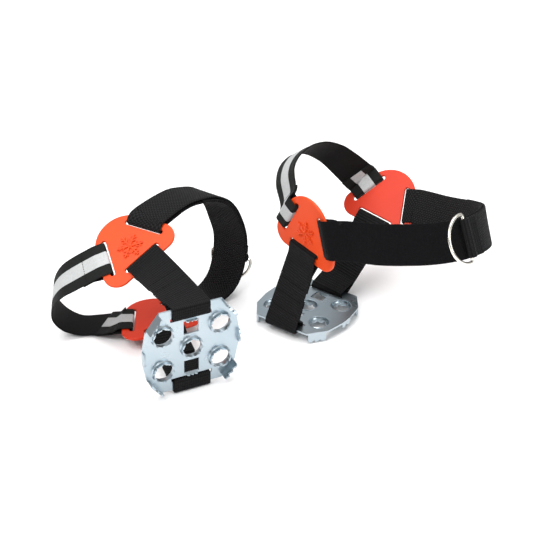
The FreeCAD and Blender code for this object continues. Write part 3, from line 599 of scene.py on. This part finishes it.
def heel_band(name):
    cleat = CLEATS[name]
    lift = TRI_FACE + CLEARANCE + ELASTIC / 2
    inside = middle_of(cleat)
    rim = TRI_RIM + RIM_GAP
    medial, lateral = cleat["medial"], cleat["lateral"]
    route = [(vec(*p), unit(vec(*a))) for p, a in HEEL_ROUTES[name]]
    start = (tri_point(medial, "heel", rim, lift), tri_across(medial, "heel"))
    end = (tri_point(lateral, "heel", rim, lift), tri_across(lateral, "heel"))
    main = smooth([start] + route + [end])
    first = looped_end(medial, "heel", lift, main, ELASTIC, inside, TAIL_END)
    last = looped_end(lateral, "heel", lift, main[::-1], ELASTIC, inside, TAIL_END)
    path = round_corners(first[::-1] + main + last, 1.2)
    outer = sign_away_from(main, inside)
    if outer < 0:
        path = path[::-1]
    label = name + "_heel_elastic"
    band = fabric_mesh(label + "_band", path, ELASTIC_WIDTH, -ELASTIC / 2, ELASTIC / 2,
                       [ELASTIC_LOOK, ELASTIC_BACK], step=0.6)
    stripe = fabric_mesh(name + "_reflective_stripe_weave", path, STRIPE_WIDTH, ELASTIC / 2 + 0.01,
                         ELASTIC / 2 + STRIPE, [STRIPE_LOOK], step=0.6, edge=0.1)
    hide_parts(label)
    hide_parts(name + "_reflective_stripe")
    rows = []
    for line in (main, main[::-1]):
        lift = sign_away_from(line, inside) * (ELASTIC / 2 + 0.28)
        rows += stitch_row(line, TAIL_ROW, lift, STITCH_WIDTH, 2.1, 0.25)
    thread = joined_mesh(label + "_stitches", rows, THREAD_LOOK, True)
    for obj in (band, stripe, thread):
        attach(obj, name + "_harness")


def fuzz(scale, depth):
    """Uneven relief of a brushed surface."""
    def relief(s, v):
        out = np.zeros_like(s)
        for i in range(s.shape[0]):
            for k in range(s.shape[1]):
                spot = Vector((s[i, k] * scale, v[i, k] * scale, 3.7))
                out[i, k] = noise.noise(spot) + 0.6 * noise.noise(spot * 2.7)
        return out * depth
    return relief


def instep_band(name):
    cleat = CLEATS[name]
    lift = TRI_FACE + CLEARANCE + WEBBING / 2
    inside = middle_of(cleat)
    medial, lateral = cleat["medial"], cleat["lateral"]
    stations = [(vec(*p), unit(vec(*a))) for p, a in INSTEP_ROUTES[name]]
    rim = TRI_RIM + RIM_GAP
    across = tri_across(lateral, "instep")
    start = (tri_point(medial, "instep", rim, lift), tri_across(medial, "instep"))
    approach = [(tri_point(lateral, "instep", rim, -lift), across),
                (tri_point(lateral, "instep", 0, -lift), across)]
    free = smooth([start] + stations + approach[:1])
    outer = sign_away_from(free, inside)
    first = looped_end(medial, "instep", lift, free, WEBBING, inside, 18)
    back = WEBBING + PILE + PEEL_GAP + HOOKS
    folded = offset_path(stations + approach, outer * back)[len(stations) - 1::-1]
    peel_place = folded[len(stations) - 1 - PEEL_STATION][0]
    # one curve out of the slot, shared by the strap and the layer folded back from the rim on
    folded = smooth([(tri_point(lateral, "instep", 0, lift), across),
                     (tri_point(lateral, "instep", rim, lift), across)] + folded)
    turn, folded = folded[:11], folded[10:]
    strap_path = round_corners(first[::-1] + free + approach[1:] + turn, 1.5)
    if outer < 0:
        strap_path = strap_path[::-1]
    label = name + "_instep_strap"
    strap = fabric_mesh(label + "_webbing", strap_path, WEBBING_WIDTH, -WEBBING / 2, WEBBING / 2,
                        [TWILL_LOOK], step=0.6)
    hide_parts(label)
    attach(strap, name + "_harness")

    # the tape with the pile, on the outer face
    tape_start = (tri_point(medial, "instep", 2.8, lift), tri_across(medial, "instep"))
    tape_route = smooth([tape_start, start] + stations[:-1])
    tape_mid = outer * (WEBBING / 2 + PILE / 2)
    pile = fabric_mesh(name + "_loop_tape_pile", tape_route, PILE_WIDTH, tape_mid - PILE / 2,
                       tape_mid + PILE / 2, [PILE_LOOK], step=0.45, relief=fuzz(0.55, 0.35))
    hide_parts(name + "_loop_tape")
    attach(pile, name + "_harness")

    # the folded-back layer, from the slot to the peeled end
    s = lengths_along(folded)
    peel_at = s[int(np.argmin([np.linalg.norm(p - peel_place) for p, a in folded]))]
    end_at = peel_at + cleat["peeled"]
    back_path = stretch_of(folded, 0, end_at)
    layer = fabric_mesh(name + "_fold_back", back_path, WEBBING_WIDTH, -WEBBING / 2, WEBBING / 2,
                        [TWILL_LOOK], step=0.6)
    (near, a0), (far, a1) = at_distances(folded, [peel_at - 3, peel_at + 3])
    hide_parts(name + "_strap_end")
    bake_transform(layer)
    hook_path = stretch_of(folded, peel_at + 1.0, end_at)
    hook_side = -1 if sign_away_from(hook_path, inside) > 0 else 1
    edges = sorted((hook_side * WEBBING / 2, hook_side * (WEBBING / 2 + HOOKS)))
    hooks = fabric_mesh(name + "_hook_tape_hooks", hook_path, HOOKS_WIDTH, edges[0], edges[1],
                        [HOOK_LOOK], step=0.8)
    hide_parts(name + "_hook_tape")
    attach(hooks, name + "_strap_end")
    ring_keeper(name, folded, end_at, inside)


def ring_keeper(name, folded, end_at, inside):
    """The end of the webbing rolled round the ring's bar and sewn back on top."""
    (before, across_1), (end, across) = at_distances(folded, [end_at - 6, end_at])
    away = unit(end - before)
    across = unit(across - away * across.dot(away))
    outward = np.cross(across, away)
    if outward.dot(end - inside) < 0:
        outward = -outward
    centre = end + away * KEEPER_OUT + outward * KEEPER_LIFT
    roll = [(-12.4, -0.25), (-8.0, -0.25), (-4.6, -0.15), (-2.3, 1.5), (0, 2.6), (1.84, 1.84), (2.6, 0),
            (1.84, -1.84), (0, -2.5), (-1.8, -2.2), (-3.5, -1.85)]
    path = smooth([(centre + away * a + outward * o, across) for a, o in roll], 6)
    keeper = fabric_mesh(name + "_ring_keeper_roll", path, WEBBING_WIDTH, -0.65, 0.65, [WEBBING_LOOK],
                         step=0.3)
    rows = stitch_row(path, 2.0, sign_towards(path, 2.0, outward) * 0.78, STITCH_WIDTH)
    thread = joined_mesh(name + "_keeper_stitches", rows, THREAD_LOOK, True)
    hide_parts(name + "_ring_keeper")
    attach(keeper, name + "_strap_end")
    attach(thread, name + "_strap_end")


def sign_towards(path, distance, direction):
    places, across, normal, stretch = frames_along(at_distances(path, [distance - 0.5, distance + 0.5]))
    return 1 if normal[0].dot(direction) > 0 else -1


# ---------------------------------------------------------------- emblem on the plastic plates
def bar(axes, side, start, end, half_width, face, height):
    """A low raised bar on a plastic plate's outer face, its top narrower than its foot."""
    along = unit(end - start)
    cross = vec(-along[1], along[0])
    verts = []
    for level, scale, reach in ((face - 0.3, 1.0, 0.0), (face + height * 0.6, 0.9, -0.05),
                                (face + height, 0.55, -0.25)):
        for spot, sign in ((start, 1), (start, -1), (end, -1), (end, 1)):
            lengthwise = along * (reach if spot is end else -reach)
            x, y = spot + lengthwise + cross * (sign * half_width * scale)
            verts.append(to_frame(axes.point(x, y, side * level)))
    faces = [(8, 9, 10, 11)]
    for layer in (0, 4):
        for k in range(4):
            n = (k + 1) % 4
            faces.append((layer + k, layer + n, layer + 4 + n, layer + 4 + k))
    faces.append((3, 2, 1, 0))
    return verts, faces


def emblem(name, side_name, material):
    """A plain six-armed snowflake, moulded in low relief."""
    tri = CLEATS[name][side_name]
    solids = []
    middle = vec(0.0, 3.0)
    for k in range(6):
        a = math.radians(60 * k + 30)
        out = vec(math.cos(a), math.sin(a))
        solids.append(bar(tri["axes"], tri["side"], middle, middle + out * 10.5, 0.75, TRI_FACE, 1.1))
        for reach, length in ((4.2, 3.2), (7.2, 2.6)):
            for turn in (-1, 1):
                b = a + turn * math.radians(52)
                foot = middle + out * reach
                tip = foot + vec(math.cos(b), math.sin(b)) * length
                solids.append(bar(tri["axes"], tri["side"], foot, tip, 0.6, TRI_FACE, 1.0))
    mark = joined_mesh("%s_%s_emblem" % (name, side_name), solids, material)
    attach(mark, name + "_harness")


# ---------------------------------------------------------------- put it together
def paint(node, material):
    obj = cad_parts[node]
    obj.data.materials.clear()
    obj.data.materials.append(material)


for name in ("left", "right"):
    for side_name in ("medial", "lateral"):
        sole_strap(name, side_name)
        # the plates in shadow get the darker copy, painted shade in place of real shading
        near = (name, side_name) in (("left", "medial"), ("right", "lateral"))
        look = PLASTIC_LIT_COPY if near else PLASTIC_PAINTED_SHADE
        paint("%s_%s_tri_plate" % (name, side_name), look)
        emblem(name, side_name, look)
    heel_band(name)
    instep_band(name)
    paint(name + "_steel_plate", ZINC_LOOK)
    paint(name + "_pull_ring", NICKEL_LOOK)


# ---------------------------------------------------------------- floor, light and camera
def studio():
    scene = bpy.context.scene
    mesh = bpy.data.meshes.new("floor")
    reach = 3.0
    mesh.from_pydata([(-reach, -reach, -0.0006), (reach, -reach, -0.0006), (reach, reach, -0.0006),
                      (-reach, reach, -0.0006)], [], [(0, 1, 2, 3)])
    floor = bpy.data.objects.new("floor", mesh)
    scene.collection.objects.link(floor)
    material, nodes, links, shader = new_material("floor_paper", (0.93, 0.93, 0.93), 0.9)
    mesh.materials.append(material)

    world = bpy.data.worlds.new("studio") if scene.world is None else scene.world
    scene.world = world
    world.use_nodes = True
    background = world.node_tree.nodes["Background"]
    nodes, links = world.node_tree.nodes, world.node_tree.links
    coords = nodes.new("ShaderNodeTexCoord")
    split = nodes.new("ShaderNodeSeparateXYZ")
    ramp = nodes.new("ShaderNodeValToRGB")
    ramp.color_ramp.elements[0].color = (0.42, 0.42, 0.43, 1.0)
    ramp.color_ramp.elements[1].position = 0.75
    ramp.color_ramp.elements[1].color = (1.0, 1.0, 1.0, 1.0)
    links.new(coords.outputs["Generated"], split.inputs[0])
    links.new(split.outputs[2], ramp.inputs[0])
    links.new(ramp.outputs[0], background.inputs[0])
    background.inputs[1].default_value = 0.75

    def area(name, place, size, energy, aim=(0, 0, 0.05)):
        light = bpy.data.lights.new(name, "AREA")
        light.shape = "RECTANGLE"
        light.size, light.size_y = size
        light.energy = energy
        obj = bpy.data.objects.new(name, light)
        scene.collection.objects.link(obj)
        obj.location = place
        direction = Vector(aim) - Vector(place)
        obj.rotation_euler = direction.to_track_quat("-Z", "Y").to_euler()

    area("key_light", (-0.5, -0.6, 1.1), (0.8, 0.8), 13)
    area("top_light", (0.1, 0.3, 1.3), (1.2, 1.0), 12)
    area("fill_light", (0.9, -0.7, 0.5), (0.6, 0.6), 4)

    camera = bpy.data.cameras.new("camera")
    camera.sensor_width = 36.0
    camera.lens = 83.72
    obj = bpy.data.objects.new("camera", camera)
    scene.collection.objects.link(obj)
    target = Vector(to_frame(vec(0, 0, 0)))
    distance, elevation = 1.103, 0.5264
    obj.location = target + Vector((0, -math.cos(elevation), math.sin(elevation))) * distance
    obj.rotation_euler = (target - obj.location).to_track_quat("-Z", "Y").to_euler()
    scene.camera = obj
    scene.view_settings.view_transform = "Standard"


studio()
